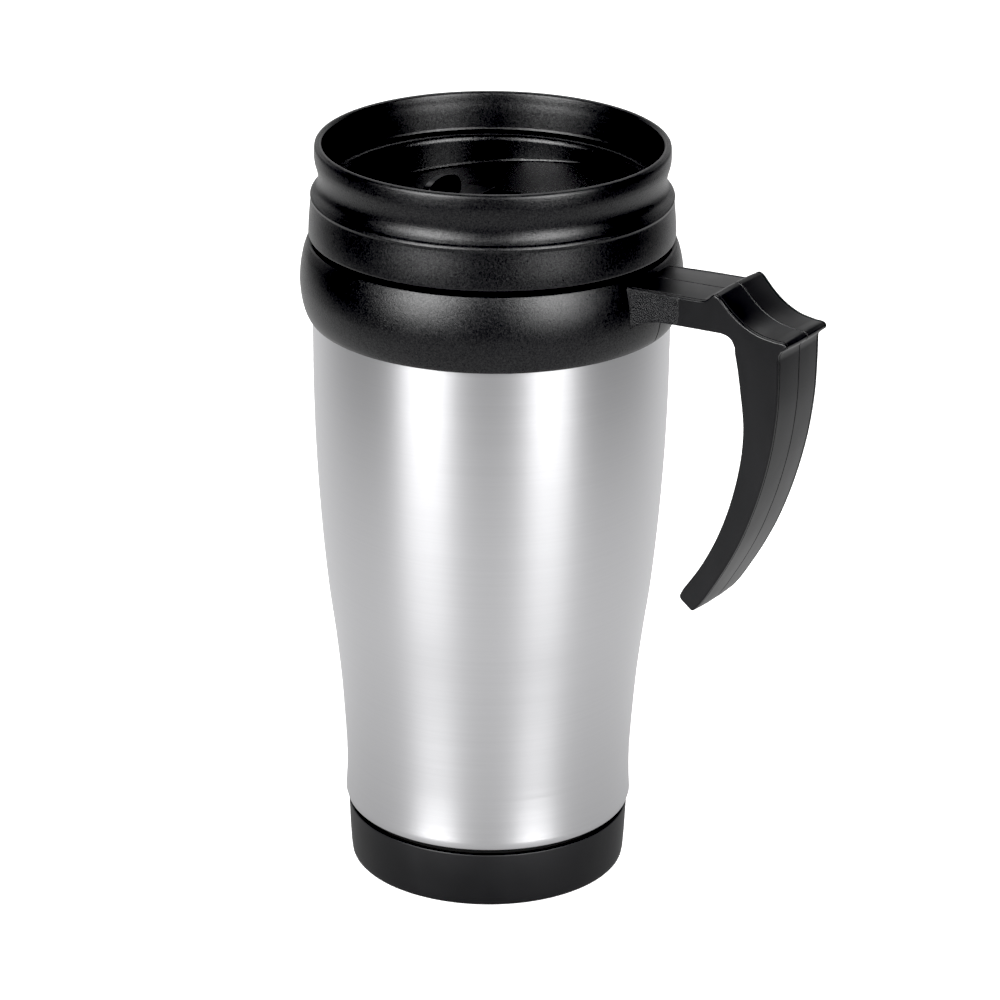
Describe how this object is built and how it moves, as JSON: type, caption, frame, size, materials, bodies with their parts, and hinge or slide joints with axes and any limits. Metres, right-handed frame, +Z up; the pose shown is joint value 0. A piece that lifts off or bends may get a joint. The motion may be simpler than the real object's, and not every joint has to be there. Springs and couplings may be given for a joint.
{
  "type": "insulated travel mug",
  "caption": "Double-walled travel mug: brushed steel sleeve, black plastic collar with a hook handle, and a screw lid with a sliding sip closure.",
  "frame": {"origin": "on the mug's axis, at the face that it stands on", "axes": "+Z up along the mug's axis, +X towards the handle, -X towards the sip hole"},
  "size_m": [0.1245, 0.0868, 0.175],
  "materials": {
    "brushed_steel": "brushed round the body",
    "grained_black": "fine spark-eroded grain",
    "satin_black": "smooth satin",
    "liner_black": "smooth, slightly glossy",
    "silicone": "soft matte",
    "foam_rubber": "matte",
    "zinc_steel": "zinc plated"
  },
  "bodies": {
    "mug": {"outer_shell": "brushed_steel", "sleeve_seal": "silicone", "inner_liner": "liner_black", "liner_seal": "silicone", "base_cup": "satin_black", "base_seal": "silicone", "base_screw": "zinc_steel", "screw_washer": "silicone", "base_pad": "foam_rubber", "collar": "grained_black", "handle_half_near": "satin_black", "handle_half_far": "satin_black"},
    "lid_seal": {"lid_gasket": "silicone"},
    "lid": {"lid_ring": "grained_black", "lid_cup": "satin_black", "sip_seal": "silicone"},
    "sip_slider": {"slider": "satin_black", "slider_clip": "satin_black"}
  },
  "joints": [
    {"name": "lid_lift", "type": "slide", "parent": "mug", "child": "lid_seal", "axis": [0, 0, 1], "range_m": [0, 0.012]},
    {"name": "lid_turn", "type": "hinge", "parent": "lid_seal", "child": "lid", "pos_m": [0, 0, 0.15], "axis": [0, 0, 1], "range_deg": [0, 540]},
    {"name": "sip_slide", "type": "slide", "parent": "lid", "child": "sip_slider", "axis": [0.9964, 0, 0.0847], "range_m": [0, 0.011]}
  ],
  "couplings": [
    {"joint": "lid_turn", "follows": "lid_lift", "rad_per_m": 785.4}
  ]
}
